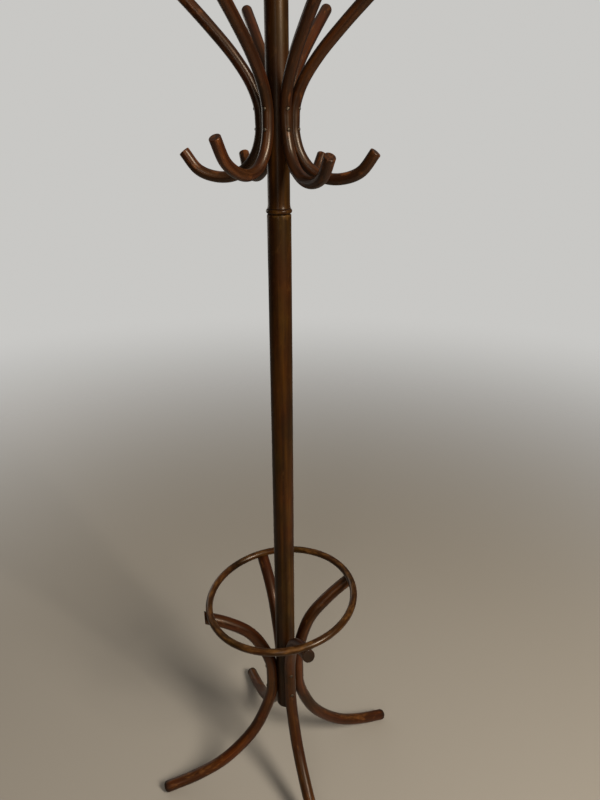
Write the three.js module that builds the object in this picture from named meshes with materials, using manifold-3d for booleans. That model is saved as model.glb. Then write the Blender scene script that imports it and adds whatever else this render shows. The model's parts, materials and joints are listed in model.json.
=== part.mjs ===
// Bentwood coat stand. A turned pole in two lengths stands on four S-bent legs that also carry a
// ring for umbrellas. The upper length revolves on a steel pin and holds six S-bent double hooks:
// a coat hook below, a hat arm above. Millimetres, +Z up, floor at z = 0.
import * as THREE from 'three';
import { mergeVertices } from 'three/addons/utils/BufferGeometryUtils.js';
import Module from 'manifold-3d';

const wasm = await Module();
wasm.setup();

// ---- Driving dimensions -------------------------------------------------------------------------

const GAP = 0.3;                     // between pieces that touch
const POLE_AXIS = [17.5, -9.1];      // the origin is the middle of the footprint, not the pole

const LOWER_POLE = { radius: 23, bottom: 220, top: 1440, footRound: 6, topRound: 2.5, segments: 24 };
const WASHER = { outer: 17, thickness: 2, bore: 6.4 };
const UPPER_POLE = { radius: 20.9, top: 1836, segments: 24 };
const COLLAR = { radius: 24.7, bead: 4.9, seam: 0.8, neck: 21.8, height: 18 };
const PIN = { radius: 6, below: 62, above: 56, bore: 6.35 };
const FINIAL = { height: 44, knob: 19, neck: 10.5, tenon: 6, tenonLength: 24 };

const HOOK = { rodRadius: 10.5, sides: 10, steps: 22, seatDepth: 0.6, screwHeights: [1588, 1622] };
const LEG = { rodRadius: 14.25, sides: 12, steps: 22, seatDepth: 3.5, screwHeights: [286, 346] };
const RING = {
  radius: 172.5, rodRadius: 8.4, height: 550.8, centre: [-8, 3.5], rise: 19.2, riseAzimuth: 34,
};
const RING_MESH = { sides: 10, steps: 48 };
const ROD_EDGE = 1.6;                // chamfer on the sawn ends of the rods
const FOOT_ROUND = 8;                // the legs' lower ends are rounded over

const HOOK_SCREW = { head: 3.4, headHeight: 2.2, shank: 1.75, length: 31, spotDepth: 1 };
const LEG_SCREW = { head: 4.2, headHeight: 2.6, shank: 2.2, length: 41, spotDepth: 1.3 };
const RING_SCREW = { head: 3.6, headHeight: 2.2, shank: 1.9, intoRing: 11, sink: 3.5 };
const HOLE_CLEARANCE = 0.4;

// Centre lines in the plane through the pole: [distance from the pole's axis, height].
// Where a rod lies on the pole its distance is worked out from both radii.
const HOOK_SEAT = UPPER_POLE.radius + GAP + HOOK.rodRadius - HOOK.seatDepth;
const HOOK_LINE = [
  [180, 1552], [154, 1518.5], [121, 1506], [89, 1507], [61.5, 1521], [41.6, 1547],
  [HOOK_SEAT + 0.6, 1581], [HOOK_SEAT, 1603], [HOOK_SEAT + 1.8, 1626],
  [47, 1662], [77, 1703], [122, 1748], [179, 1799],
];
const LEG_SEAT = LOWER_POLE.radius + GAP + LEG.rodRadius - LEG.seatDepth;
const LEG_LINE = [
  [317, 10.5], [240, 32.4], [176, 62], [126, 103], [84, 153], [55, 211], [LEG_SEAT + 2.4, 270],
  [LEG_SEAT, 316], [LEG_SEAT + 4, 358], [60, 413.5], [89, 462.5], [134, 501.5], [184, 531],
];

// Each rod was bent and screwed on by hand, so each has its own azimuth about the pole (degrees,
// counter-clockwise from +X), its own lean (degrees), and small offsets from the common centre line
// (mm): a hook's tip moved outwards or raised and its arm opened; a leg's foot, shoulder and head
// moved outwards, its head arched upwards, and its very end moved [outwards, upwards]. One leg's
// head is sawn plumb, at a distance from the pole's axis; the others are sawn square.
const HOOKS = [
  { azimuth: 296.6, lean: -3, tipReach: 0, tipRise: -1.5, armReach: -1.5 },
  { azimuth: 337, lean: -0.6, tipReach: 3, tipRise: 0.5, armReach: -2 },
  { azimuth: 59.3, lean: -2.2, tipReach: 0, tipRise: -15, armReach: -0.5 },
  { azimuth: 112, lean: -2.8, tipReach: 0, tipRise: -11.5, armReach: -0.5 },
  { azimuth: 170.5, lean: 4.5, tipReach: -1.5, tipRise: -1.5, armReach: -10 },
  { azimuth: 235.8, lean: 1.1, tipReach: 0, tipRise: 28, armReach: -4 },
];
const LEGS = [
  {
    azimuth: 190.5, lean: -2.7, footReach: 6, shoulder: -5, headReach: -1.5, headArch: 2.5,
    headEnd: [9, 5.5], plumbHead: 191,
  },
  {
    azimuth: 287.4, lean: -0.6, footReach: 0, shoulder: -18, headReach: -10.5, headArch: 5.5,
    headEnd: [1, -1],
  },
  {
    azimuth: 24.9, lean: -2.1, footReach: -5, shoulder: -17, headReach: -3.5, headArch: 0,
    headEnd: [5, 3],
  },
  {
    azimuth: 107.9, lean: -0.6, footReach: 20, shoulder: 3, headReach: 3, headArch: 2.4,
    headEnd: [9, 4],
  },
];

const COLOURS = {
  pole: { color: 0x3d2416, roughness: 0.35, metalness: 0 },
  hook: { color: 0x4a2c1a, roughness: 0.35, metalness: 0 },
  leg: { color: 0x47220f, roughness: 0.35, metalness: 0 },
  ring: { color: 0x6b4526, roughness: 0.3, metalness: 0 },
  steel: { color: 0x9a958c, roughness: 0.35, metalness: 1 },
};

// ---- Geometry helpers ---------------------------------------------------------------------------

function toSolid(geometry) {
  const bare = geometry.clone();
  bare.deleteAttribute('normal');
  bare.deleteAttribute('uv');
  const merged = mergeVertices(bare, 1e-4);
  const corners = merged.index.array;
  const kept = [];
  for (let i = 0; i < corners.length; i += 3) {
    const [a, b, c] = corners.slice(i, i + 3);
    if (a !== b && b !== c && c !== a) kept.push(a, b, c);
  }
  return new wasm.Manifold(new wasm.Mesh({
    numProp: 3,
    vertProperties: Float32Array.from(merged.attributes.position.array),
    triVerts: Uint32Array.from(kept),
  }));
}

function toGeometry(solid) {
  const mesh = solid.getMesh();
  const geometry = new THREE.BufferGeometry();
  geometry.setAttribute('position', new THREE.BufferAttribute(mesh.vertProperties, 3));
  geometry.setIndex(new THREE.BufferAttribute(mesh.triVerts, 1));
  return geometry;
}

function cut(geometry, tools) {
  let solid = toSolid(geometry);
  for (const tool of tools) solid = solid.subtract(toSolid(tool));
  return toGeometry(solid);
}

// Revolves [radius, height] points, bottom to top on the outside, about +Z.
function turned(outline, segments) {
  const points = outline.map(([radius, height]) => new THREE.Vector2(radius, height));
  return new THREE.LatheGeometry(points, segments).rotateX(Math.PI / 2);
}

// Points of an arc in an outline, angles in degrees from the outward radius.
function arc(centreRadius, centreHeight, radius, from, to, steps) {
  return Array.from({ length: steps + 1 }, (_, i) => {
    const angle = THREE.MathUtils.degToRad(from + ((to - from) * i) / steps);
    return [centreRadius + radius * Math.cos(angle), centreHeight + radius * Math.sin(angle)];
  });
}

function cylinder(radius, from, to, sides) {
  return turned([[0, from], [radius, from], [radius, to], [0, to]], sides);
}

// Turns a +Z tool so that it lies along +X, which is outwards from the pole.
function alongX(geometry, y, z) {
  return geometry.rotateY(Math.PI / 2).translate(0, y, z);
}

function endSteps(round) {
  return round > ROD_EDGE ? 4 : 1;
}

// A round rod laid along a path. Each end is sawn and has its edge taken off, or is rounded over.
function bentRod(path, radius, { sides, steps }, startRound, endRound) {
  const length = path.getLength();
  const straightLength = length - startRound - endRound;
  const outline = [[0, 0]];
  outline.push(...arc(radius - startRound, startRound, startRound, -90, 0, endSteps(startRound)));
  for (let i = 1; i < steps; i++) {
    outline.push([radius, startRound + (straightLength * i) / steps]);
  }
  outline.push(...arc(radius - endRound, length - endRound, endRound, 0, 90, endSteps(endRound)));
  outline.push([0, length]);

  const straight = new THREE.LatheGeometry(outline.map((p) => new THREE.Vector2(...p)), sides);
  const place = straight.attributes.position;
  const across = new THREE.Vector3(0, 1, 0);
  const point = new THREE.Vector3();
  for (let i = 0; i < place.count; i++) {
    const u = THREE.MathUtils.clamp(place.getY(i) / length, 0, 1);
    const tangent = path.getTangentAt(u);
    const side = new THREE.Vector3().crossVectors(tangent, across).normalize();
    path.getPointAt(u, point);
    point.addScaledVector(side, place.getX(i)).addScaledVector(across, place.getZ(i));
    place.setXYZ(i, point.x, point.y, point.z);
  }
  return straight;
}

// A path in the plane through the pole, leaning about the point where the rod sits on the pole.
function spokePath(line) {
  const path = new THREE.CatmullRomCurve3(line.map(([r, z]) => new THREE.Vector3(r, 0, z)), false);
  path.arcLengthDivisions = 600;
  return path;
}

function leaned(geometry, degrees, seatHeight) {
  return geometry
    .translate(0, 0, -seatHeight)
    .rotateX(-THREE.MathUtils.degToRad(degrees))
    .translate(0, 0, seatHeight);
}

function sideShift(degrees, seatHeight, height) {
  return (height - seatHeight) * Math.tan(THREE.MathUtils.degToRad(degrees));
}

// Distance of a centre line from the pole's axis at a height near its seat.
function lineRadius(path, height) {
  const points = path.getPoints(800);
  return points.reduce((best, p) => (Math.abs(p.z - height) < Math.abs(best.z - height) ? p : best)).x;
}

// A round-headed wood screw pointing along -Z, with its head's underside at z = 0.
function screwGeometry({ head, headHeight, shank, length }) {
  const point = 4 - length;
  const shoulder = [head * 0.8, headHeight * 0.7];
  return turned([[0, -length], [shank, point], [shank, 0], [head, 0], shoulder, [0, headHeight]], 8);
}

function screwHole({ shank }, from, to) {
  return cylinder(shank + HOLE_CLEARANCE, from, to, 8);
}

// ---- Scene graph --------------------------------------------------------------------------------

const stand = new THREE.Group();
stand.position.set(...POLE_AXIS, 0);

function addPiece(name, geometry, colour, azimuth = 0) {
  const mesh = new THREE.Mesh(geometry, new THREE.MeshStandardMaterial(COLOURS[colour]));
  mesh.name = name;
  mesh.rotation.z = THREE.MathUtils.degToRad(azimuth);
  stand.add(mesh);
}

// Round-headed screws that hold one rod to the pole, and the holes they need in both.
function fastenRod({ path, rod, screw, seatHeight, lean, azimuth, name }) {
  const inRod = [];
  const inPole = [];
  rod.screwHeights.forEach((height, i) => {
    const y = sideShift(lean, seatHeight, height);
    const spot = lineRadius(path, height) + rod.rodRadius - screw.spotDepth;
    const tip = spot - screw.length - 1;
    inRod.push(alongX(screwHole(screw, 0, spot + 1), y, height));
    inRod.push(alongX(cylinder(screw.head + HOLE_CLEARANCE, spot, spot + 12, 10), y, height));
    inPole.push(alongX(screwHole(screw, tip, spot), y, height)
      .rotateZ(THREE.MathUtils.degToRad(azimuth)));
    const body = alongX(screwGeometry(screw), y, height).translate(spot + GAP, 0, 0);
    addPiece(`${name}_screw_${['low', 'high'][i]}`, body, 'steel', azimuth);
  });
  return { inRod, inPole };
}

// ---- Revolving head: hooks ----------------------------------------------------------------------

const HOOK_SEAT_HEIGHT = 1604;
const upperPoleHoles = [];

// The offsets grow from the seat, where a rod lies on the pole, to its two ends.
function hookLine({ tipReach, tipRise, armReach }) {
  const [tipRadius] = HOOK_LINE[0];
  const [armRadius] = HOOK_LINE.at(-1);
  return HOOK_LINE.map(([r, z]) => {
    if (z < HOOK_SEAT_HEIGHT) {
      const tipShare = (r - HOOK_SEAT) / (tipRadius - HOOK_SEAT);
      return [r + tipReach * tipShare, z + tipRise * tipShare ** 1.25];
    }
    const armShare = (r - HOOK_SEAT) / (armRadius - HOOK_SEAT);
    return [r + armReach * armShare, z - armReach * armShare];
  });
}

HOOKS.forEach((hook, i) => {
  const name = `hook_${i + 1}`;
  const { azimuth, lean } = hook;
  const path = spokePath(hookLine(hook));
  const straight = bentRod(path, HOOK.rodRadius, HOOK, ROD_EDGE, HOOK.rodRadius);
  const rod = leaned(straight, lean, HOOK_SEAT_HEIGHT);
  const { inRod, inPole } = fastenRod({
    path, rod: HOOK, screw: HOOK_SCREW, seatHeight: HOOK_SEAT_HEIGHT, lean, azimuth, name,
  });
  const seat = cylinder(UPPER_POLE.radius + GAP, 1500, 1720, UPPER_POLE.segments)
    .rotateZ(THREE.MathUtils.degToRad(-azimuth));
  addPiece(name, cut(rod, [seat, ...inRod]), 'hook', azimuth);
  upperPoleHoles.push(...inPole);
});

// ---- Revolving head: upper pole, finial ---------------------------------------------------------

// The washer lies in a recess in the collar's underside, so only a narrow seam shows.
const collarBottom = LOWER_POLE.top + COLLAR.seam;
const washerBottom = LOWER_POLE.top + GAP;
const recess = { radius: WASHER.outer + GAP, top: washerBottom + WASHER.thickness + GAP };
const pinTop = recess.top + PIN.above;

const upperPoleOutline = [
  [0, pinTop + 1.5], [PIN.bore, pinTop + 1.5], [PIN.bore, recess.top], [recess.radius, recess.top],
  [recess.radius, collarBottom],
  ...arc(COLLAR.radius - COLLAR.bead, collarBottom + COLLAR.bead, COLLAR.bead, -76, 62, 5),
  [COLLAR.neck, collarBottom + 2 * COLLAR.bead], [COLLAR.neck - 0.6, collarBottom + 13],
  [UPPER_POLE.radius, collarBottom + COLLAR.height],
  [UPPER_POLE.radius, UPPER_POLE.top],
  [FINIAL.tenon + GAP, UPPER_POLE.top], [FINIAL.tenon + GAP, UPPER_POLE.top - FINIAL.tenonLength - 1],
  [0, UPPER_POLE.top - FINIAL.tenonLength - 1],
];
addPiece('upper_pole', cut(turned(upperPoleOutline, UPPER_POLE.segments), upperPoleHoles), 'pole');

const finialBottom = UPPER_POLE.top + GAP;
const knobHeight = finialBottom + FINIAL.height - FINIAL.knob * 0.78;
addPiece('finial', turned([
  [0, finialBottom - FINIAL.tenonLength], [FINIAL.tenon, finialBottom - FINIAL.tenonLength],
  [FINIAL.tenon, finialBottom], [UPPER_POLE.radius, finialBottom],
  ...arc(UPPER_POLE.radius, finialBottom + 3, 2.4, -70, 70, 3),
  [UPPER_POLE.radius - 5, finialBottom + 7], [FINIAL.neck, finialBottom + 11],
  [FINIAL.neck, finialBottom + 14],
  ...arc(0, knobHeight, FINIAL.knob, -48, 66, 6).map(([r, z]) => [r, knobHeight + (z - knobHeight) * 0.78]),
  [0, finialBottom + FINIAL.height],
], 20), 'pole');

// ---- Swivel: pin in the lower pole, washer under the collar -------------------------------------

addPiece('pivot_pin', turned([
  [0, LOWER_POLE.top - PIN.below], [PIN.radius - 1, LOWER_POLE.top - PIN.below],
  [PIN.radius, LOWER_POLE.top - PIN.below + 1], [PIN.radius, pinTop - 1],
  [PIN.radius - 1, pinTop], [0, pinTop],
], 20), 'steel');

addPiece('swivel_washer', turned([
  [WASHER.bore, washerBottom], [WASHER.outer, washerBottom],
  [WASHER.outer, washerBottom + WASHER.thickness], [WASHER.bore, washerBottom + WASHER.thickness],
  [WASHER.bore, washerBottom],
], 24), 'steel');

// ---- Umbrella ring: lies on the leg ends, a little out of level and off centre ------------------

const ringTilt = Math.asin(RING.rise / RING.radius);

function ringGeometry(rodRadius) {
  const turn = THREE.MathUtils.degToRad(RING.riseAzimuth);
  return new THREE.TorusGeometry(RING.radius, rodRadius, RING_MESH.sides, RING_MESH.steps)
    .rotateY(-ringTilt)
    .rotateZ(turn)
    .translate(...RING.centre, RING.height);
}

function ringHeightAt(x, y) {
  const turn = THREE.MathUtils.degToRad(RING.riseAzimuth);
  const along = (x - RING.centre[0]) * Math.cos(turn) + (y - RING.centre[1]) * Math.sin(turn);
  return RING.height + along * Math.tan(ringTilt);
}

// Where a leg's plane crosses the ring: distance from the pole's axis.
function ringDistance(azimuth, y) {
  const turn = THREE.MathUtils.degToRad(azimuth);
  const along = RING.centre[0] * Math.cos(turn) + RING.centre[1] * Math.sin(turn);
  const across = RING.centre[1] * Math.cos(turn) - RING.centre[0] * Math.sin(turn) - y;
  return along + Math.sqrt(RING.radius ** 2 - across ** 2);
}

// ---- Base: legs, with their screws to the pole and up into the ring -----------------------------

const LEG_SEAT_HEIGHT = 316;
const lowerPoleHoles = [];
const ringHoles = [];
const floor = new THREE.BoxGeometry(900, 900, 60).translate(0, 0, -30);

function legLine({ azimuth, footReach, shoulder, headReach, headArch, headEnd }) {
  const [footRadius] = LEG_LINE[0];
  const [, headHeight] = LEG_LINE.at(-1);
  const headRise = RING.rise * Math.cos(THREE.MathUtils.degToRad(azimuth - RING.riseAzimuth));
  return LEG_LINE.map(([r, z]) => {
    if (z <= LEG_SEAT_HEIGHT) return [r + (footReach * (r - LEG_SEAT)) / (footRadius - LEG_SEAT), z];
    const share = (z - LEG_SEAT_HEIGHT) / (headHeight - LEG_SEAT_HEIGHT);
    const bulge = shoulder * Math.sin(Math.PI * share ** 1.5);
    const arch = headArch * Math.sin(Math.PI * 0.9 * share ** 4);
    const nearEnd = share ** 12;
    return [
      r + bulge + (headReach - headRise * 0.4) * share ** 2 + headEnd[0] * nearEnd,
      z + headRise * share ** 1.5 + arch + headEnd[1] * nearEnd,
    ];
  });
}

// Height of a leg's underside where the ring crosses it.
function undersideAt(path, distance) {
  const points = path.getPoints(800);
  const i = points.findIndex((p) => p.z > LEG_SEAT_HEIGHT && p.x >= distance);
  const direction = points[i].clone().sub(points[i - 1]).normalize();
  return points[i].z - LEG.rodRadius / direction.x;
}

LEGS.forEach((leg, i) => {
  const name = `leg_${i + 1}`;
  const { azimuth, lean } = leg;
  const turn = THREE.MathUtils.degToRad(azimuth);
  const path = spokePath(legLine(leg));
  const rod = leaned(bentRod(path, LEG.rodRadius, LEG, FOOT_ROUND, ROD_EDGE), lean, LEG_SEAT_HEIGHT);
  const { inRod, inPole } = fastenRod({
    path, rod: LEG, screw: LEG_SCREW, seatHeight: LEG_SEAT_HEIGHT, lean, azimuth, name,
  });

  const y = sideShift(lean, LEG_SEAT_HEIGHT, RING.height);
  const x = ringDistance(azimuth, y);
  const crossing = new THREE.Vector2(x, y).rotateAround(new THREE.Vector2(), turn);
  const ringHeight = ringHeightAt(crossing.x, crossing.y);
  const spot = undersideAt(path, x) + RING_SCREW.sink;
  const length = ringHeight - RING.rodRadius + RING_SCREW.intoRing - spot;
  const pilot = screwHole(RING_SCREW, spot - 1, spot + length + 1).translate(x, y, 0);
  const sunk = cylinder(RING_SCREW.head + HOLE_CLEARANCE, spot - 25, spot, 10).translate(x, y, 0);
  const ringScrew = screwGeometry({ ...RING_SCREW, length }).rotateX(Math.PI).translate(x, y, spot - GAP);
  addPiece(`ring_screw_${i + 1}`, ringScrew, 'steel', azimuth);
  ringHoles.push(pilot.clone().rotateZ(turn));

  const poleSeat = cylinder(LOWER_POLE.radius + GAP, 230, 420, LOWER_POLE.segments).rotateZ(-turn);
  const ringSeat = ringGeometry(RING.rodRadius + GAP).rotateZ(-turn);
  const tools = [floor, poleSeat, ringSeat, pilot, sunk, ...inRod];
  if (leg.plumbHead) tools.push(new THREE.BoxGeometry(60, 90, 90).translate(leg.plumbHead + 30, 0, 515));
  addPiece(name, cut(rod, tools), 'leg', azimuth);
  lowerPoleHoles.push(...inPole);
});

addPiece('umbrella_ring', cut(ringGeometry(RING.rodRadius), ringHoles), 'ring');

// ---- Base: lower pole ---------------------------------------------------------------------------

const { radius, bottom, top, footRound, topRound } = LOWER_POLE;
const lowerPoleOutline = [
  [0, bottom],
  ...arc(radius - footRound, bottom + footRound, footRound, -90, 0, 4),
  ...arc(radius - topRound, top - topRound, topRound, 0, 90, 3),
  [PIN.bore, top], [PIN.bore, top - PIN.below - 1.5], [0, top - PIN.below - 1.5],
];
addPiece('lower_pole', cut(turned(lowerPoleOutline, LOWER_POLE.segments), lowerPoleHoles), 'pole');

export default stand;
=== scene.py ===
"""Bentwood coat stand: fine meshes, materials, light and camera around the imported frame.

Every piece is made in the place of its CAD node, on the same centre lines and radii. Lengths are in
millimetres where a name is in a table of driving sizes, and metres once they are in a mesh.
"""
import json
import math

import bmesh
import bpy
import numpy as np
from mathutils import Matrix, Vector


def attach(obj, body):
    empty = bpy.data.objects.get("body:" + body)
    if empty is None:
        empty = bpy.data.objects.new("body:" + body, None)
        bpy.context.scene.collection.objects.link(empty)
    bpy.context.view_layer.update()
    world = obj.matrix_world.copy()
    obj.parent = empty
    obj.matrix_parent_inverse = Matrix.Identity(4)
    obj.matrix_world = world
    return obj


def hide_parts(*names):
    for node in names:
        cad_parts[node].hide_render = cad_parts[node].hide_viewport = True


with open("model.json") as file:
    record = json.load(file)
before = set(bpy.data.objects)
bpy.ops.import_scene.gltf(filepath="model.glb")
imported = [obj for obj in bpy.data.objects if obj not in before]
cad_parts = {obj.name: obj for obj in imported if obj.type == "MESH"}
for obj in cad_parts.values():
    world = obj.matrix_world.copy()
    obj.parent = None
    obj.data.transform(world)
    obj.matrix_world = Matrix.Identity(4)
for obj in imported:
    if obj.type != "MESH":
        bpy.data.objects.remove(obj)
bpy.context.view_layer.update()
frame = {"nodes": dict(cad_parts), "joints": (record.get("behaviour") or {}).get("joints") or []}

MM = 0.001

# Clearance between pieces that sit on each other, in millimetres, how near to a pole's axis a point is
# on it, in millimetres, and how near to a cut a vertex is on it, in metres.
GAP = 0.3
ON_AXIS = 1e-6
ON_CUT = 1e-5

# ---- Driving sizes, in millimetres ---------------------------------------------------------------

POLE_X, POLE_Y, _ = frame["joints"][0]["pos_m"]

LOWER_POLE = {"radius": 23, "bottom": 220, "top": 1440, "foot_round": 6, "top_round": 2.5}
UPPER_POLE = {"radius": 20.9, "bottom": 1440.8, "top": 1836}
COLLAR = {"radius": 24.7, "bead": 4.9, "neck": 21.8, "height": 18}
RECESS = {"radius": 17.3, "height": 1.8}
PIN = {"bore": 6.35, "above": 57.5, "below": 63.5}
FINIAL = {"bottom": 1836.3, "height": 44, "knob": 19, "neck": 10.5}

HOOK = {"radius": 10.5, "start_edge": 1.9, "end_edge": 10.5, "seat_height": 1604, "seat_depth": 0.6}
LEG = {"radius": 14.25, "start_edge": 8.6, "end_edge": 2.4, "seat_height": 316, "seat_depth": 3.5}
HOOK_SCREW_HEIGHTS = (1588, 1622)
LEG_SCREW_HEIGHTS = (286, 346)
RING = {
    "radius": 172.5, "rod": 8.4, "height": 550.8, "centre": (-8, 3.5), "rise": 19.2, "rise_azimuth": 34,
    "joint_azimuth": 87.3,
}

HOOK_SCREW = {"head": 3.4, "head_height": 2.2, "spot_depth": 1.0}
LEG_SCREW = {"head": 4.2, "head_height": 2.6, "spot_depth": 1.3}
RING_SCREW = {"head": 3.6, "head_height": 2.2, "sink": 3.5}
HOLE_CLEARANCE = 0.4

# How far the tools that cut a recess start outside the rod, and the block that saws a leg's head plumb.
BEYOND_ROD = 12
BEYOND_LEG = 25
SAW = {"size": 90, "height": 515}

# The sawn face is inset, ring inside ring, for vertices that carry its grime.
SAWN_INSETS = (0.9, 3.0, 4.0)

# A screw head goes on a little narrower below its rim. The slot's width is a share of the head's radius.
HEAD_SKIRT = {"depth": 0.6, "share": 0.98}
SLOT_WIDTH = 0.26

# Centre lines in the plane through the pole: (distance from the pole's axis, height).
HOOK_SEAT = UPPER_POLE["radius"] + GAP + HOOK["radius"] - HOOK["seat_depth"]
HOOK_LINE = [
    (180, 1552), (154, 1518.5), (121, 1506), (89, 1507), (61.5, 1521), (41.6, 1547),
    (HOOK_SEAT + 0.6, 1581), (HOOK_SEAT, 1603), (HOOK_SEAT + 1.8, 1626),
    (47, 1662), (77, 1703), (122, 1748), (179, 1799),
]
LEG_SEAT = LOWER_POLE["radius"] + GAP + LEG["radius"] - LEG["seat_depth"]
LEG_LINE = [
    (317, 10.5), (240, 32.4), (176, 62), (126, 103), (84, 153), (55, 211),
    (LEG_SEAT + 2.4, 270), (LEG_SEAT, 316), (LEG_SEAT + 4, 358),
    (60, 413.5), (89, 462.5), (134, 501.5), (184, 531),
]
HOOKS = [
    {"azimuth": 296.6, "lean": -3, "tip_reach": 0, "tip_rise": -1.5, "arm_reach": -1.5},
    {"azimuth": 337, "lean": -0.6, "tip_reach": 3, "tip_rise": 0.5, "arm_reach": -2},
    {"azimuth": 59.3, "lean": -2.2, "tip_reach": 0, "tip_rise": -15, "arm_reach": -0.5},
    {"azimuth": 112, "lean": -2.8, "tip_reach": 0, "tip_rise": -11.5, "arm_reach": -0.5},
    {"azimuth": 170.5, "lean": 4.5, "tip_reach": -1.5, "tip_rise": -1.5, "arm_reach": -10},
    {"azimuth": 235.8, "lean": 1.1, "tip_reach": 0, "tip_rise": 28, "arm_reach": -4},
]
LEGS = [
    {"azimuth": 190.5, "lean": -2.7, "foot_reach": 6, "shoulder": -5, "head_reach": -1.5,
     "head_arch": 2.5, "head_end": (9, 5.5), "plumb_head": 191},
    {"azimuth": 287.4, "lean": -0.6, "foot_reach": 0, "shoulder": -18, "head_reach": -10.5,
     "head_arch": 5.5, "head_end": (1, -1)},
    {"azimuth": 24.9, "lean": -2.1, "foot_reach": -5, "shoulder": -17, "head_reach": -3.5,
     "head_arch": 0, "head_end": (5, 3)},
    {"azimuth": 107.9, "lean": -0.6, "foot_reach": 20, "shoulder": 3, "head_reach": 3,
     "head_arch": 2.4, "head_end": (9, 4)},
]

# Fineness of the meshes: sides and steps round a piece, and lengths in millimetres or degrees along it.
ROD_SIDES = 48
ROD_STEP = 3.5
RING_STEPS = 240
POLE_SIDES = 96
POLE_STEP = 8
HOLE_SIDES = 40
SCREW_SIDES = 48
ARC_STEP = 12

# Every piece draws its unevenness and its place in the tree from its own seed.
SEEDS = {"hook": 100, "leg": 200, "lower_pole": 11, "upper_pole": 12, "finial": 13}

# How far hand bending and turning leave a surface from true, in millimetres.
ROD_UNEVEN = 0.11
POLE_UNEVEN = 0.10
FINIAL_UNEVEN = 0.05
RING_UNEVEN = 0.12

# Shares of wear, dirt and painted shade from 0 to 1, and in millimetres along the rod where each lies and how
# far it reaches. Wear is most at a rod's ends, where coats hang and where shoes touch. The saddle share is
# painted shade where a rod meets the pole, and the floor share is painted shade where a foot meets the floor.
HOOK_LOOK = {
    "wear": 0.09, "tip_wear": 0.22, "top_wear": 0.20, "end_reach": 22,
    "load_wear": 0.26, "load_at": 75, "load_reach": 40,
    "saddle_shade": 0.7, "saddle_reach": 3.5, "sawn_grime": 0.35, "sawn_depth": 0.6, "sawn_edge": 1.6,
}
LEG_LOOK = {
    "wear": 0.08, "foot_wear": 0.10, "head_wear": 0.15, "end_reach": 20,
    "kick_wear": 0.26, "kick_at": 120, "kick_reach": 90,
    "saddle_shade": 0.7, "saddle_reach": 4.5, "sawn_grime": 0.92, "sawn_depth": 0.8, "sawn_edge": 0.7,
    "foot_grime": 0.92, "foot_from": 18, "foot_to": 6, "floor_shade": 0.5, "floor_reach": 4,
}
RING_WEAR = {"wear": 0.16, "top_wear": 0.22}
TURNED_WEAR = 0.06

# ---- Curves and outlines -------------------------------------------------------------------------


class CentreLine:
    """A smooth line through points in the (distance, height) plane, measured along its length."""

    def __init__(self, points, per_span=40):
        p = np.array(points, float) * MM
        p = np.vstack([2 * p[0] - p[1], p, 2 * p[-1] - p[-2]])
        t = np.linspace(0, 1, per_span, endpoint=False)[:, None]
        spans = [self._span(*corners, t) for corners in zip(p, p[1:], p[2:], p[3:])]
        self.points = np.vstack([*spans, p[-2:-1]])
        steps = np.linalg.norm(np.diff(self.points, axis=0), axis=1)
        self.along = np.concatenate([[0], np.cumsum(steps)])
        self.length = self.along[-1]
        ahead = np.gradient(self.points, self.along, axis=0)
        self.ahead = ahead / np.linalg.norm(ahead, axis=1)[:, None]

    @staticmethod
    def _span(a, b, c, d, t):
        """One span, from b to c, of a centripetal Catmull-Rom curve."""
        before, here, after = (math.sqrt(np.linalg.norm(v - u)) for u, v in ((a, b), (b, c), (c, d)))
        start = ((b - a) / before - (c - a) / (before + here) + (c - b) / here) * here
        end = ((c - b) / here - (d - b) / (here + after) + (d - c) / after) * here
        return (
            (2 * t**3 - 3 * t**2 + 1) * b + (t**3 - 2 * t**2 + t) * start
            + (3 * t**2 - 2 * t**3) * c + (t**3 - t**2) * end
        )

    def at(self, s):
        """Places and directions at distances s along the line."""
        place = np.stack([np.interp(s, self.along, self.points[:, i]) for i in (0, 1)], -1)
        ahead = np.stack([np.interp(s, self.along, self.ahead[:, i]) for i in (0, 1)], -1)
        return place, ahead / np.linalg.norm(ahead, axis=-1, keepdims=True)

    def nearest(self, place):
        """Distance along the line of its point nearest to each place."""
        gaps = np.linalg.norm(place[:, None] - self.points[None], axis=2)
        return self.along[gaps.argmin(1)]

    def distance_at(self, height):
        """Distance from the pole's axis where the line passes a height near its seat."""
        return self.points[np.abs(self.points[:, 1] - height).argmin(), 0]

    def underside_at(self, distance, radius):
        """Height of a rod's underside where its far end passes a distance from the pole's axis."""
        beyond = (self.points[:, 0] >= distance) & (self.along > self.length / 2)
        i = beyond.argmax()
        return self.points[i, 1] - radius / self.ahead[i, 0]


def arc(centre_r, centre_z, radius, start, end):
    """(radius, height) points of an arc, angles in degrees from the outward radius."""
    count = max(2, math.ceil(abs(end - start) / ARC_STEP))
    angles = np.radians(np.linspace(start, end, count + 1))
    return [(centre_r + radius * math.cos(a), centre_z + radius * math.sin(a)) for a in angles]


def filled(outline, step):
    """The outline with its long straight stretches divided, so that the surface can vary."""
    points = [outline[0]]
    for a, b in zip(outline, outline[1:]):
        parts = max(1, round(math.dist(a, b) / step))
        points += [tuple(np.array(a) + (np.array(b) - np.array(a)) * i / parts) for i in range(1, parts + 1)]
    return points


def end_face(radius, edge):
    """(radius, depth) from the middle of a rod's end to its side: a flat, then a rounded edge."""
    flat = radius - edge
    if flat < 1:
        return [(0, 0)] + arc(flat, edge, edge, -90, 0)[1:]
    return [(flat * share, 0) for share in (0, 0.4, 0.75)] + arc(flat, edge, edge, -90, 0)


def rod_outline(length, sizes):
    """(radius, distance along) of a straight rod."""
    start = end_face(sizes["radius"], sizes["start_edge"])
    end = [(r, length - depth) for r, depth in reversed(end_face(sizes["radius"], sizes["end_edge"]))]
    return start + filled([start[-1], end[0]], ROD_STEP)[1:-1] + end


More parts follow.
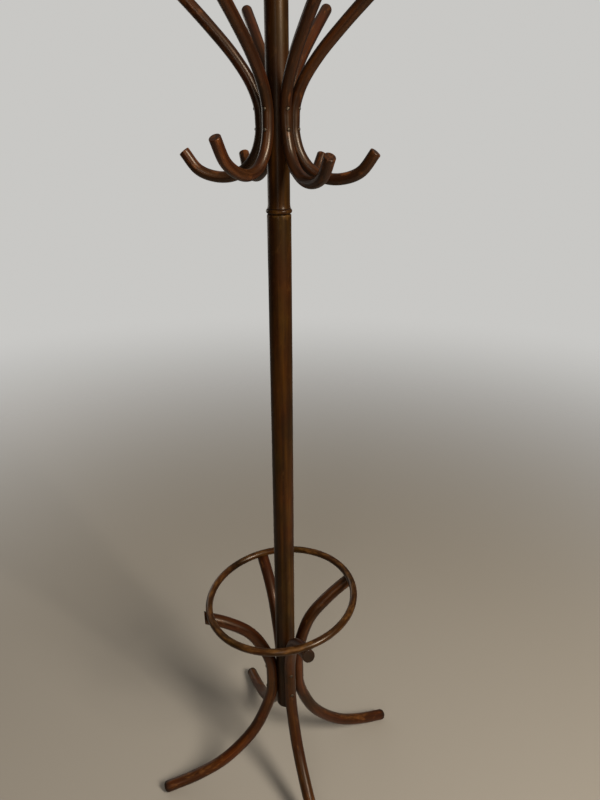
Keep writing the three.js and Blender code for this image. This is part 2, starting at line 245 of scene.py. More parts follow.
def uneven(angle, along, seed, amount):
    """How far a hand-made surface is from true, in metres, as long waves in a few lobes."""
    rng = np.random.default_rng(seed)
    total = 0
    for lobes, wave in ((2, 0.31), (3, 0.17), (2, 0.11), (4, 0.075)):
        turn, shift = rng.uniform(0, 2 * math.pi, 2)
        total = total + np.cos(lobes * angle + turn) * np.sin(2 * math.pi * along / wave + shift)
    return total * amount * MM / 2


# ---- Meshes --------------------------------------------------------------------------------------


def surface(name, rings, closed_ends=True):
    """A mesh from rings of points, each ring joined to the next; a ring of one point is an end."""
    vertices, faces, starts = [], [], []
    for ring in rings:
        starts.append(len(vertices))
        vertices += [tuple(p) for p in ring]
    if closed_ends:
        pairs = zip(range(len(rings) - 1), range(1, len(rings)))
    else:
        pairs = zip(range(len(rings)), [*range(1, len(rings)), 0])
    for a, b in pairs:
        n = max(len(rings[a]), len(rings[b]))
        for i in range(n):
            j = (i + 1) % n
            one_a, one_b = len(rings[a]) == 1, len(rings[b]) == 1
            corners = [starts[a] + (0 if one_a else i)]
            if not one_a:
                corners.append(starts[a] + j)
            corners.append(starts[b] + (0 if one_b else j))
            if not one_b:
                corners.append(starts[b] + i)
            faces.append(corners)
    mesh = bpy.data.meshes.new(name)
    mesh.from_pydata(vertices, [], faces)
    mesh.update()
    return mesh


def coordinates(mesh):
    co = np.empty(len(mesh.vertices) * 3)
    mesh.vertices.foreach_get("co", co)
    return co.reshape(-1, 3)


def set_coordinates(mesh, co):
    mesh.vertices.foreach_set("co", np.asarray(co, float).ravel())
    mesh.update()


def peak(values, place, reach):
    """1 where the values are at a place, falling away on both sides."""
    return np.exp(-(((values - place) / reach) ** 2))


def normals(mesh):
    no = np.empty(len(mesh.vertices) * 3)
    mesh.vertex_normals.foreach_get("vector", no)
    return no.reshape(-1, 3)


def store(mesh, name, values):
    """Keeps a number or a vector for each vertex, for the materials to read."""
    values = np.asarray(values, np.float32)
    kind = "FLOAT" if values.ndim == 1 else "FLOAT_VECTOR"
    attribute = mesh.attributes.new(name, kind, "POINT")
    attribute.data.foreach_set("value" if values.ndim == 1 else "vector", values.ravel())


def shade(mesh, sharp_degrees=38):
    """Smooth shading, apart from edges that turn by more than an angle."""
    bm = bmesh.new()
    bm.from_mesh(mesh)
    bmesh.ops.recalc_face_normals(bm, faces=bm.faces)
    for face in bm.faces:
        face.smooth = True
    for edge in bm.edges:
        edge.smooth = len(edge.link_faces) < 2 or edge.calc_face_angle(0) < math.radians(sharp_degrees)
    bm.to_mesh(mesh)
    bm.free()
    mesh.update()


def cut(mesh, tools):
    """The mesh with each tool mesh taken out of it."""
    whole = bpy.data.objects.new("whole", mesh)
    bpy.context.scene.collection.objects.link(whole)
    taken = []
    for tool in tools:
        taken.append(bpy.data.objects.new("taken", tool))
        bpy.context.scene.collection.objects.link(taken[-1])
        modifier = whole.modifiers.new("cut", "BOOLEAN")
        modifier.operation = "DIFFERENCE"
        modifier.solver = "EXACT"
        modifier.object = taken[-1]
    depsgraph = bpy.context.evaluated_depsgraph_get()
    result = bpy.data.meshes.new_from_object(whole.evaluated_get(depsgraph))
    for temporary in [whole, *taken]:
        bpy.data.objects.remove(temporary)
    return result


def turned_mesh(name, outline, sides=POLE_SIDES, seed=0, amount=0.0):
    """Revolves (radius, height) points, in millimetres and from bottom to top, about +Z."""
    angles = np.linspace(0, 2 * math.pi, sides, endpoint=False)
    rings = []
    for r, z in outline:
        if r < ON_AXIS:
            rings.append([(0, 0, z * MM)])
            continue
        radius = r * MM + (uneven(angles, z * MM, seed, amount) if amount else 0)
        rings.append(np.stack([radius * np.cos(angles), radius * np.sin(angles), np.full(sides, z * MM)], -1))
    return surface(name, rings)


def add_piece(name, mesh, body, material, node, turn=0.0):
    """Puts a mesh made about the pole's axis in its place, in the stead of its CAD node."""
    mesh.transform(Matrix.Translation((POLE_X, POLE_Y, 0)) @ Matrix.Rotation(turn, 4, "Z"))
    piece = bpy.data.objects.new(name, mesh)
    bpy.context.scene.collection.objects.link(piece)
    mesh.materials.clear()
    mesh.materials.append(material)
    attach(piece, body)
    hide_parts(node)


# ---- Materials -----------------------------------------------------------------------------------


class Nodes:
    """Short ways to add and join the nodes of one material."""

    def __init__(self, name):
        self.material = bpy.data.materials.new(name)
        self.material.use_nodes = True
        self.tree = self.material.node_tree
        self.shader = self.tree.nodes["Principled BSDF"]

    def add(self, kind, inputs=None, **settings):
        node = self.tree.nodes.new(kind)
        for key, value in settings.items():
            setattr(node, key, value)
        for key, value in (inputs or {}).items():
            self.put(node.inputs[key], value)
        return node

    def put(self, socket, value):
        if isinstance(value, bpy.types.NodeSocket):
            self.tree.links.new(value, socket)
        else:
            socket.default_value = value

    def attribute(self, name):
        return self.add("ShaderNodeAttribute", attribute_name=name)

    def maths(self, operation, a, b=0.0, c=0.0, clamp=False):
        inputs = {0: a, 1: b, 2: c}
        return self.add("ShaderNodeMath", inputs, operation=operation, use_clamp=clamp).outputs[0]

    def stretched(self, vector, scale):
        return self.add("ShaderNodeVectorMath", {0: vector, 1: scale}, operation="MULTIPLY").outputs[0]

    def noise(self, vector, detail=3.0, roughness=0.55, distortion=0.0):
        inputs = {"Vector": vector, "Scale": 1.0, "Detail": detail, "Roughness": roughness,
                  "Distortion": distortion}
        return self.add("ShaderNodeTexNoise", inputs).outputs["Fac"]

    def spread(self, value, low, high, to_low=0.0, to_high=1.0):
        inputs = {"Value": value, "From Min": low, "From Max": high, "To Min": to_low, "To Max": to_high}
        return self.add("ShaderNodeMapRange", inputs).outputs["Result"]

    def mix(self, share, a, b, blend="MIX"):
        node = self.add("ShaderNodeMix", data_type="RGBA", blend_type=blend)
        self.put(node.inputs["Factor"], share)
        self.put(node.inputs["A"], a)
        self.put(node.inputs["B"], b)
        return node.outputs["Result"]

    def ramp(self, value, stops):
        node = self.add("ShaderNodeValToRGB", {"Fac": value})
        elements = node.color_ramp.elements
        while len(elements) < len(stops):
            elements.new(0.5)
        for element, (place, colour) in zip(elements, stops):
            element.position = place
            element.color = colour
        return node.outputs["Color"]


def rgb(r, g, b):
    return (r, g, b, 1.0)


LACQUER_TINT = rgb(1.0, 0.82, 0.62)
# Near black: real dirt, and painted shade where pieces meet and in grooves.
GRIME_AND_SHADE_COLOUR = rgb(0.006, 0.004, 0.003)

# The middle of the tree from a rod's own middle, in metres, and its year rings, in radians a metre.
PITH = (0.031, 0.012)
YEAR_RINGS = 3300.0


def wood(name, dark, mid, light, wear_and_highlight, roughness, coat, shine, blotch=0.62):
    """Stained, lacquered beech: grain along the rod, blotchy stain, wear where hands and coats rub, dirt, and
    painted highlight and painted shade from the shares each piece stores.
    """
    n = Nodes(name)
    grain = n.attribute("grain").outputs["Vector"]
    wear = n.attribute("wear").outputs["Fac"]
    grime_and_shade = n.attribute("grime_and_shade").outputs["Fac"]

    drift = n.noise(n.stretched(grain, (30, 30, 4)), 2.0)
    streaks = n.noise(n.stretched(grain, (120, 120, 3.0)), 3.0, 0.5, 0.3)
    fibres = n.noise(n.stretched(grain, (900, 900, 26)), 3.0, 0.6)
    blotches = n.noise(n.stretched(grain, (26, 26, 11)), 3.0, 0.5)
    rubbed = n.noise(n.stretched(grain, (95, 95, 36)), 5.0, 0.65)

    split = n.add("ShaderNodeSeparateXYZ", {"Vector": grain})
    pith_x = n.maths("ADD", split.outputs["X"], PITH[0])
    pith_y = n.maths("ADD", split.outputs["Y"], PITH[1])
    squares = n.maths("ADD", n.maths("MULTIPLY", pith_x, pith_x), n.maths("MULTIPLY", pith_y, pith_y))
    from_pith = n.maths("MULTIPLY_ADD", drift, 0.006, n.maths("SQRT", squares))
    rings = n.maths("SINE", n.maths("MULTIPLY", from_pith, YEAR_RINGS))
    rings = n.spread(rings, 0.35, 1.0)

    colour = n.ramp(streaks, [(0.24, dark), (0.52, mid), (0.82, light)])
    deep = n.spread(blotches, 0.42, 0.62, 0.0, blotch)
    colour = n.mix(deep, colour, dark)
    olive = n.spread(n.noise(n.stretched(grain, (17, 17, 8)), 2.0), 0.36, 0.64)
    tint = n.mix(olive, rgb(1.14, 0.90, 0.78), rgb(0.88, 1.06, 0.92))
    colour = n.mix(1.0, colour, tint, "MULTIPLY")
    colour = n.mix(n.maths("MULTIPLY", rings, 0.20), colour, rgb(0.30, 0.24, 0.20), "MULTIPLY")
    colour = n.mix(n.spread(fibres, 0.50, 0.72, 0.0, 0.55), colour, rgb(0.25, 0.18, 0.14), "MULTIPLY")

    # On the turned pieces this share also carries painted highlights at the collar, drawn in the same lighter
    # colour as wear.
    wear_and_highlight_share = n.maths("ADD", wear, n.maths("MULTIPLY_ADD", rubbed, 2.2, -1.25))
    wear_and_highlight_share = n.maths("MULTIPLY", n.spread(wear_and_highlight_share, 0.10, 0.62), n.spread(wear, 0.0, 0.12))
    colour = n.mix(n.maths("MULTIPLY", wear_and_highlight_share, 0.8), colour, wear_and_highlight)
    # The near-black colour stands for real dirt on the sawn ends and feet, and for painted shade where pieces
    # meet, near the floor and in the collar's grooves.
    dirt_and_shade = n.maths("MULTIPLY", grime_and_shade, n.spread(rubbed, 0.3, 0.6, 0.6, 1.0))
    colour = n.mix(dirt_and_shade, colour, GRIME_AND_SHADE_COLOUR)
    n.put(n.shader.inputs["Base Color"], colour)

    matt = n.spread(blotches, 0.3, 0.7, roughness - 0.05, roughness + 0.07)
    matt = n.maths("MULTIPLY_ADD", wear_and_highlight_share, 0.16, matt)
    matt = n.maths("MULTIPLY_ADD", grime_and_shade, 0.18, matt)
    matt = n.maths("MULTIPLY_ADD", fibres, 0.08, matt, clamp=True)
    n.put(n.shader.inputs["Roughness"], matt)
    n.put(n.shader.inputs["Coat Weight"], coat)
    n.put(n.shader.inputs["Coat Roughness"], 0.16)
    n.put(n.shader.inputs["Specular IOR Level"], shine)
    n.put(n.shader.inputs["Specular Tint"], LACQUER_TINT)

    height = n.maths("MULTIPLY_ADD", fibres, -0.5, n.maths("MULTIPLY", rubbed, 0.5))
    height = n.maths("MULTIPLY_ADD", wear_and_highlight_share, -0.3, height)
    bump = n.add("ShaderNodeBump", {"Strength": 0.22, "Distance": 0.0005, "Height": height})
    n.put(n.shader.inputs["Normal"], bump.outputs["Normal"])
    return n.material


def steel(name, colour, tarnish, roughness):
    """Dulled steel with brown tarnish in patches."""
    n = Nodes(name)
    place = n.add("ShaderNodeTexCoord").outputs["Object"]
    patches = n.noise(n.stretched(place, (420, 420, 420)), 4.0, 0.6)
    brushed = n.noise(n.stretched(place, (2600, 2600, 700)), 2.0)
    share = n.spread(patches, 0.45, 0.68, 0.0, 0.8)
    n.put(n.shader.inputs["Base Color"], n.mix(share, colour, tarnish))
    n.put(n.shader.inputs["Metallic"], 1.0)
    matt = n.spread(brushed, 0.3, 0.7, roughness - 0.06, roughness + 0.06)
    n.put(n.shader.inputs["Roughness"], n.maths("MULTIPLY_ADD", share, 0.25, matt))
    bump = n.add("ShaderNodeBump", {"Strength": 0.3, "Distance": 0.0001, "Height": brushed})
    n.put(n.shader.inputs["Normal"], bump.outputs["Normal"])
    return n.material


POLE_WOOD = wood(
    "pole_wood", rgb(0.014, 0.0044, 0.0010), rgb(0.038, 0.0140, 0.0020), rgb(0.074, 0.032, 0.005),
    rgb(0.110, 0.050, 0.010), roughness=0.36, coat=0.05, shine=0.16,
)
HOOK_WOOD = wood(
    "hook_wood", rgb(0.009, 0.0027, 0.0010), rgb(0.039, 0.0115, 0.0029), rgb(0.098, 0.030, 0.0068),
    rgb(0.190, 0.061, 0.013), roughness=0.32, coat=0.15, shine=0.30,
)
LEG_WOOD = wood(
    "leg_wood", rgb(0.015, 0.0042, 0.0012), rgb(0.054, 0.0160, 0.0034), rgb(0.115, 0.039, 0.0085),
    rgb(0.175, 0.067, 0.016), roughness=0.34, coat=0.09, shine=0.20,
)
RING_WOOD = wood(
    "ring_wood", rgb(0.018, 0.0060, 0.0010), rgb(0.037, 0.0136, 0.0022), rgb(0.069, 0.027, 0.0050),
    rgb(0.142, 0.062, 0.014), roughness=0.28, coat=0.16, shine=0.22, blotch=0.3,
)
SCREW_STEEL = steel("screw_steel", rgb(0.11, 0.085, 0.06), rgb(0.030, 0.018, 0.010), 0.46)
PIVOT_STEEL = steel("pivot_steel", rgb(0.56, 0.56, 0.54), rgb(0.30, 0.26, 0.20), 0.32)

# ---- Bent rods -----------------------------------------------------------------------------------


def leaned(co, degrees, seat_height):
    """Leans points sideways about the height where the rod sits on the pole."""
    a = math.radians(degrees)
    y, z = co[:, 1], co[:, 2] - seat_height * MM
    out = co.copy()
    out[:, 1] = y * math.cos(a) + z * math.sin(a)
    out[:, 2] = z * math.cos(a) - y * math.sin(a) + seat_height * MM
    return out


def side_shift(degrees, seat_height, height):
    """How far a leaning rod is to the side at a height."""
    return (height - seat_height) * math.tan(math.radians(degrees))


def bent_rod(name, line, sizes, seed):
    """A round rod along a centre line in the plane y = 0."""
    angles = np.linspace(0, 2 * math.pi, ROD_SIDES, endpoint=False)
    rings = []
    for r, s in rod_outline(line.length / MM, sizes):
        place, ahead = line.at(np.array(s * MM))
        side = np.array([-ahead[1], ahead[0]])
        if r < ON_AXIS:
            rings.append([(place[0], 0, place[1])])
            continue
        radius = r * MM + uneven(angles, s * MM, seed, ROD_UNEVEN) * r / sizes["radius"]
        x, y = radius * np.cos(angles), radius * np.sin(angles)
        rings.append(np.stack([place[0] + side[0] * x, y, place[1] + side[1] * x], -1))
    return surface(name, rings)


def cutter(radius, start, end):
    """A cutting cylinder along +Z."""
    return turned_mesh("cutter", [(0, start), (radius, start), (radius, end), (0, end)], HOLE_SIDES)


def drill(start, end, radius, y, z):
    """A cutting cylinder along +X."""
    tool = cutter(radius, start, end)
    tool.transform(Matrix.Translation((0, y * MM, z * MM)) @ Matrix.Rotation(math.pi / 2, 4, "Y"))
    return tool


def straightened(co, line, sizes, lean):
    """Where each point was in the straight rod, before it was bent: across, across, along."""
    flat = leaned(co, -lean, sizes["seat_height"])
    along = line.nearest(flat[:, [0, 2]])
    place, ahead = line.at(along)
    offset = flat[:, [0, 2]] - place
    side = np.stack([-ahead[:, 1], ahead[:, 0]], -1)
    across = (offset * side).sum(1)
    return np.stack([across, flat[:, 1], along + (offset * ahead).sum(1)], -1)


def clear_of_pole(co, radius):
    """Moves what lies in the pole out to its surface, which makes the rod's saddle."""
    out = co.copy()
    distance = np.hypot(co[:, 0], co[:, 1])
    least = (radius + GAP) * MM
    inside = distance < least
    out[inside, :2] *= (least / distance[inside])[:, None]
    return out


def ring_frame():
    """Centre of the ring, and the two directions that its centre line lies in."""
    turn = math.radians(RING["rise_azimuth"])
    tilt = math.asin(RING["rise"] / RING["radius"])
    up_hill = np.array([math.cos(turn) * math.cos(tilt), math.sin(turn) * math.cos(tilt), math.sin(tilt)])
    level = np.array([-math.sin(turn), math.cos(turn), 0])
    return np.array([*RING["centre"], RING["height"]]) * MM, up_hill, level


def clear_of_ring(co, azimuth):
    """Moves what lies in the ring out to its surface, for points turned back by an azimuth."""
    turn = np.array(Matrix.Rotation(math.radians(azimuth), 3, "Z"))
    world = co @ turn.T
    centre, up_hill, level = ring_frame()
    offset = world - centre
    a, b = offset @ up_hill, offset @ level
    reach = np.maximum(np.hypot(a, b), 1e-9)
    on_line = centre + RING["radius"] * MM * (np.outer(a / reach, up_hill) + np.outer(b / reach, level))
    away = world - on_line
    distance = np.linalg.norm(away, axis=1)
    least = (RING["rod"] + GAP) * MM
    inside = distance < least
    world[inside] = on_line[inside] + away[inside] * (least / distance[inside])[:, None]
    return world @ turn


def seed_offset(seed):
    """Moves the grain so that no two rods are cut from the same place in the tree."""
    return np.random.default_rng(seed).uniform(-0.4, 0.4, 3) * (0.02, 0.02, 1.0)


def ends(along, length, reach):
    """A share for each end of a rod, 1 at the end and falling away over a distance."""
    return np.exp(-along / reach), np.exp(-(length - along) / reach)


def slotted_head(name, head, height):
    """A round screw head with a slot across it, standing on z = 0."""
    dome = arc(0, 0, 1, 0, 90)
    skirt = HEAD_SKIRT["depth"]
    outline = [(0, -skirt), (head * HEAD_SKIRT["share"], -skirt), (head, 0)]
    outline += [(head * r, height * z) for r, z in dome[1:-1]] + [(0, height)]
    mesh = turned_mesh(name, outline, SCREW_SIDES)
    slot = bmesh.new()
    bmesh.ops.create_cube(slot, size=1)
    bmesh.ops.scale(slot, vec=(head * 3 * MM, head * SLOT_WIDTH * MM, height * MM), verts=slot.verts)
    bmesh.ops.translate(slot, vec=(0, 0, height * MM), verts=slot.verts)
    tool = bpy.data.meshes.new("slot")
    slot.to_mesh(tool)
    slot.free()
    mesh = cut(mesh, [tool])
    shade(mesh, 30)
    return mesh


def add_screw(node, body, sizes, spin, place, azimuth, towards):
    """A screw head at a place on its rod, pointing in a direction."""
    mesh = slotted_head(f"{node}_head", sizes["head"], sizes["head_height"])
    turn = Vector(towards).to_track_quat("Z", "Y").to_matrix().to_4x4() @ Matrix.Rotation(spin, 4, "Z")
    mesh.transform(Matrix.Translation(Vector(place) * MM) @ turn)
    add_piece(f"{node}_head", mesh, body, SCREW_STEEL, node, math.radians(azimuth))


def hook_line(hook):
    """The hooks' centre line with one hook's offsets, which grow from the seat to both ends."""
    tip_radius, arm_radius = HOOK_LINE[0][0], HOOK_LINE[-1][0]
    line = []
    for r, z in HOOK_LINE:
        if z < HOOK["seat_height"]:
            share = max(0, (r - HOOK_SEAT) / (tip_radius - HOOK_SEAT))
            line.append((r + hook["tip_reach"] * share, z + hook["tip_rise"] * share**1.25))
        else:
            share = (r - HOOK_SEAT) / (arm_radius - HOOK_SEAT)
            line.append((r + hook["arm_reach"] * share, z - hook["arm_reach"] * share))
    return line


def leg_line(leg):
    """The legs' centre line with one leg's offsets, its head brought up or down to meet the ring."""
    foot_radius, head_height = LEG_LINE[0][0], LEG_LINE[-1][1]
    head_rise = RING["rise"] * math.cos(math.radians(leg["azimuth"] - RING["rise_azimuth"]))
    line = []
    for r, z in LEG_LINE:
        if z <= LEG["seat_height"]:
            line.append((r + leg["foot_reach"] * (r - LEG_SEAT) / (foot_radius - LEG_SEAT), z))
            continue
        share = (z - LEG["seat_height"]) / (head_height - LEG["seat_height"])
        bulge = leg["shoulder"] * math.sin(math.pi * share**1.5)
        arch = leg["head_arch"] * math.sin(math.pi * 0.9 * share**4)
        out = (leg["head_reach"] - head_rise * 0.4) * share**2
        end_out, end_up = (move * share**12 for move in leg["head_end"])
        line.append((r + bulge + out + end_out, z + head_rise * share**1.5 + arch + end_up))
    return line


def ring_crossing(leg):
    """Where the ring lies over a leg: distance from the pole's axis, and distance to the side."""
    turn = math.radians(leg["azimuth"])
    across, along = -math.sin(turn), math.cos(turn)
    x, y = RING["centre"]
    sideways = side_shift(leg["lean"], LEG["seat_height"], RING["height"])
    chord = math.sqrt(RING["radius"] ** 2 - (y * along + x * across - sideways) ** 2)
    return x * along - y * across + chord, sideways


def fastened_rod(name, line, rod, sizes, screw, heights, seed, recesses=()):
    """The rod's mesh with its recesses for screws, and where the screw heads sit."""
    mesh = bent_rod(name, line, sizes, seed)
    set_coordinates(mesh, leaned(coordinates(mesh), rod["lean"], sizes["seat_height"]))
    tools, places = [*recesses], []
    for height in heights:
        y = side_shift(rod["lean"], sizes["seat_height"], height)
        spot = line.distance_at(height * MM) / MM + sizes["radius"] - screw["spot_depth"]
        tools.append(drill(spot, spot + BEYOND_ROD, screw["head"] + HOLE_CLEARANCE, y, height))
        places.append((spot + GAP, y, height))
    return cut(mesh, tools), places


def make_hook(i, hook):
    node, seed = f"hook_{i}", SEEDS["hook"] + i
    line = CentreLine(hook_line(hook))
    mesh, places = fastened_rod(node, line, hook, HOOK, HOOK_SCREW, HOOK_SCREW_HEIGHTS, seed)
    co = coordinates(mesh)
    grain = straightened(co, line, HOOK, hook["lean"])
    set_coordinates(mesh, clear_of_pole(co, UPPER_POLE["radius"]))
    shade(mesh)
    up = normals(mesh)[:, 2]
    along = np.clip(grain[:, 2], 0, line.length)
    look = HOOK_LOOK
    tip, top = ends(along, line.length, look["end_reach"] * MM)
    loaded = peak(along, look["load_at"] * MM, look["load_reach"] * MM) * np.clip(up, 0, 1)
    wear = look["tip_wear"] * tip + look["top_wear"] * top + look["load_wear"] * loaded + look["wear"]
    store(mesh, "wear", np.clip(wear, 0, 1))
    # Painted shade: the rod is darkened near the pole's surface, where it meets the pole.
    saddle = peak(np.hypot(co[:, 0], co[:, 1]), UPPER_POLE["radius"] * MM, look["saddle_reach"] * MM)
    off_edge = np.hypot(grain[:, 0], grain[:, 1]) < (HOOK["radius"] - look["sawn_edge"]) * MM
    sawn = (along < look["sawn_depth"] * MM) & off_edge
    store(mesh, "grime_and_shade", np.clip(look["saddle_shade"] * saddle + look["sawn_grime"] * sawn, 0, 1))
    store(mesh, "grain", grain + seed_offset(seed))
    add_piece(f"{node}_rod", mesh, "head", HOOK_WOOD, node, math.radians(hook["azimuth"]))
    for place, where, spin in zip(places, ("low", "high"), (0.4 + i, 1.9 + 2 * i)):
        add_screw(f"{node}_screw_{where}", "head", HOOK_SCREW, spin, place, hook["azimuth"], (1, 0, 0))


def sawn_plumb(mesh, distance):
    """The mesh with all that lies beyond a distance from the pole's axis sawn off."""
    tool = bpy.data.meshes.new("saw")
    bm = bmesh.new()
    bmesh.ops.create_cube(bm, size=SAW["size"] * MM)
    bmesh.ops.translate(bm, vec=(distance + SAW["size"] * MM / 2, 0, SAW["height"] * MM), verts=bm.verts)
    bm.to_mesh(tool)
    bm.free()
    mesh = cut(mesh, [tool])
    bm = bmesh.new()
    bm.from_mesh(mesh)
    sawn = [face for face in bm.faces if all(abs(v.co.x - distance) < ON_CUT for v in face.verts)]
    for inset in SAWN_INSETS:
        bmesh.ops.inset_region(bm, faces=sawn, thickness=inset * MM)
    bm.to_mesh(mesh)
    bm.free()
    return mesh


def make_leg(i, leg):
    node, seed = f"leg_{i}", SEEDS["leg"] + i
    line = CentreLine(leg_line(leg))
    x, y = ring_crossing(leg)
    spot = line.underside_at(x * MM, LEG["radius"] * MM) / MM + RING_SCREW["sink"]
    recess = cutter(RING_SCREW["head"] + HOLE_CLEARANCE, spot - BEYOND_LEG, spot)
    recess.transform(Matrix.Translation((x * MM, y * MM, 0)))
    mesh, places = fastened_rod(node, line, leg, LEG, LEG_SCREW, LEG_SCREW_HEIGHTS, seed, [recess])
    plumb = leg.get("plumb_head", math.inf) * MM
    if "plumb_head" in leg:
        mesh = sawn_plumb(mesh, plumb)
    co = coordinates(mesh)
    grain = straightened(co, line, LEG, leg["lean"])
    shaped = clear_of_ring(clear_of_pole(co, LOWER_POLE["radius"]), leg["azimuth"])
    shaped[:, 2] = np.maximum(shaped[:, 2], 0)
    set_coordinates(mesh, shaped)
    shade(mesh)
    up = normals(mesh)[:, 2]
    along = np.clip(grain[:, 2], 0, line.length)
    look = LEG_LOOK
    foot, head = ends(along, line.length, look["end_reach"] * MM)
    kicked = peak(along, look["kick_at"] * MM, look["kick_reach"] * MM) * np.clip(up, 0, 1)
    wear = look["foot_wear"] * foot + look["head_wear"] * head + look["kick_wear"] * kicked + look["wear"]
    store(mesh, "wear", np.clip(wear, 0, 1))
    off_edge = np.hypot(grain[:, 0], grain[:, 1]) < (LEG["radius"] - look["sawn_edge"]) * MM
    sawn = ((along > line.length - look["sawn_depth"] * MM) | (co[:, 0] > plumb - ON_CUT)) & off_edge
    stood_on = np.clip((look["foot_from"] * MM - along) / ((look["foot_from"] - look["foot_to"]) * MM), 0, 1)
    # Painted shade: the rod is darkened near the pole's surface, where it meets the pole.
    saddle = peak(np.hypot(co[:, 0], co[:, 1]), LOWER_POLE["radius"] * MM, look["saddle_reach"] * MM)
    # Painted shade: the leg is darker close to the floor, where the foot meets it.
    near_floor = np.exp(-shaped[:, 2] / (look["floor_reach"] * MM))
    grime_and_shade = look["saddle_shade"] * saddle + look["sawn_grime"] * sawn
    grime_and_shade += look["foot_grime"] * stood_on + look["floor_shade"] * near_floor
    store(mesh, "grime_and_shade", np.clip(grime_and_shade, 0, 1))
    store(mesh, "grain", grain + seed_offset(seed))
    add_piece(f"{node}_rod", mesh, "stand", LEG_WOOD, node, math.radians(leg["azimuth"]))
    for place, where, spin in zip(places, ("low", "high"), (0.9 + i, 2.3 + 2 * i)):
        add_screw(f"{node}_screw_{where}", "stand", LEG_SCREW, spin, place, leg["azimuth"], (1, 0, 0))
    place = (x, y, spot - GAP)
    add_screw(f"ring_screw_{i}", "stand", RING_SCREW, 0.7 + 2 * i, place, leg["azimuth"], (0, 0, -1))


def make_ring():
    centre, up_hill, level = ring_frame()
    upright = np.cross(up_hill, level)
    joint = math.radians(RING["joint_azimuth"] - RING["rise_azimuth"])
    angles = np.linspace(0, 2 * math.pi, ROD_SIDES, endpoint=False)
    rings, grain = [], []
    for a in np.linspace(joint, joint + 2 * math.pi, RING_STEPS, endpoint=False):
        outward = math.cos(a) * up_hill + math.sin(a) * level
        along = RING["radius"] * MM * (a - joint)
        waves = np.cos(2 * angles + 3 * a) + np.sin(3 * angles - 7 * a + 1)
        radius = (RING["rod"] + RING_UNEVEN * waves) * MM
        x, y = radius * np.cos(angles), radius * np.sin(angles)
        rings.append(centre + RING["radius"] * MM * outward + np.outer(x, outward) + np.outer(y, upright))
        grain.append(np.stack([x, y, np.full(ROD_SIDES, along)], -1))
    mesh = surface("umbrella_ring_rod", rings, closed_ends=False)
    shade(mesh)
    up = normals(mesh)[:, 2]
    store(mesh, "wear", RING_WEAR["wear"] + RING_WEAR["top_wear"] * np.clip(up, 0, 1))
    store(mesh, "grime_and_shade", np.zeros(len(up)))
    store(mesh, "grain", np.concatenate(grain))
    add_piece("umbrella_ring_rod", mesh, "stand", RING_WOOD, "umbrella_ring")


# ---- Turned pieces -------------------------------------------------------------------------------


def make_turned(name, node, body, outline, seed, amount, bands):
    """A turned piece; bands are (height, reach, wear, grime) of places that are lighter or darker: real wear
    and painted highlight, dirt and painted shade.
    """
    mesh = turned_mesh(name, filled(outline, POLE_STEP), POLE_SIDES, seed, amount)
    shade(mesh, 50)
    co = coordinates(mesh)
    wear, grime_and_shade = np.full(len(co), TURNED_WEAR), np.zeros(len(co))
    for height, reach, wear_and_highlight, dirt_and_shade in bands:
        near = peak(co[:, 2], height * MM, reach * MM)
        wear += wear_and_highlight * near
        grime_and_shade += dirt_and_shade * near
    store(mesh, "wear", np.clip(wear, 0, 1))
    store(mesh, "grime_and_shade", np.clip(grime_and_shade, 0, 1))
    store(mesh, "grain", co + seed_offset(seed))
    add_piece(name, mesh, body, POLE_WOOD, node)


def make_poles():
    radius, bottom, top = (LOWER_POLE[k] for k in ("radius", "bottom", "top"))
    foot, rim = LOWER_POLE["foot_round"], LOWER_POLE["top_round"]
    outline = [(0, bottom), (radius - foot - 6, bottom)]
    outline += arc(radius - foot, bottom + foot, foot, -90, 0)
    outline += arc(radius - rim, top - rim, rim, 0, 90)
    outline += [(PIN["bore"], top), (PIN["bore"], top - PIN["below"]), (0, top - PIN["below"])]
    # Bands: the lighter band at the rounded top is a painted highlight, the pole is darker towards its bottom
    # end, and the band above the legs' seats is painted shade where the legs meet the pole.
    make_turned("lower_pole_wood", "lower_pole", "stand", outline, SEEDS["lower_pole"], POLE_UNEVEN,
                [(top - 2, 3, 0.45, 0), (bottom, 14, 0, 0.35), (LEG["seat_height"] + 40, 60, 0, 0.25)])

    radius, bottom, top = (UPPER_POLE[k] for k in ("radius", "bottom", "top"))
    bead, neck, recess = COLLAR["bead"], COLLAR["neck"], RECESS["radius"]
    ceiling = bottom + RECESS["height"]
    outline = [(0, ceiling + PIN["above"]), (PIN["bore"], ceiling + PIN["above"]), (PIN["bore"], ceiling)]
    outline += [(recess, ceiling), (recess, bottom), (19, bottom)]
    outline += arc(COLLAR["radius"] - bead, bottom + bead, bead, -80, 66)
    quirk = bottom + 2 * bead
    outline += [(neck - 0.1, quirk - 0.5), (neck - 0.1, quirk), (neck + 0.25, quirk + 0.5)]
    outline += [(neck, quirk + 1.4), (neck - 0.4, quirk + 3), (radius + 0.2, quirk + 5.5)]
    outline += [(radius, bottom + COLLAR["height"]), (radius, top - 1), (radius - 1, top), (8, top), (0, top)]
    # Bands: the lighter band on the bead is a painted highlight, and the dark bands in the quirk above the
    # bead and at the seam with the lower pole are painted shade.
    make_turned("upper_pole_wood", "upper_pole", "head", outline, SEEDS["upper_pole"], POLE_UNEVEN,
                [(bottom + bead, 2.5, 0.22, 0), (quirk - 0.3, 0.8, 0, 0.85), (bottom, 1.0, 0, 0.85)])


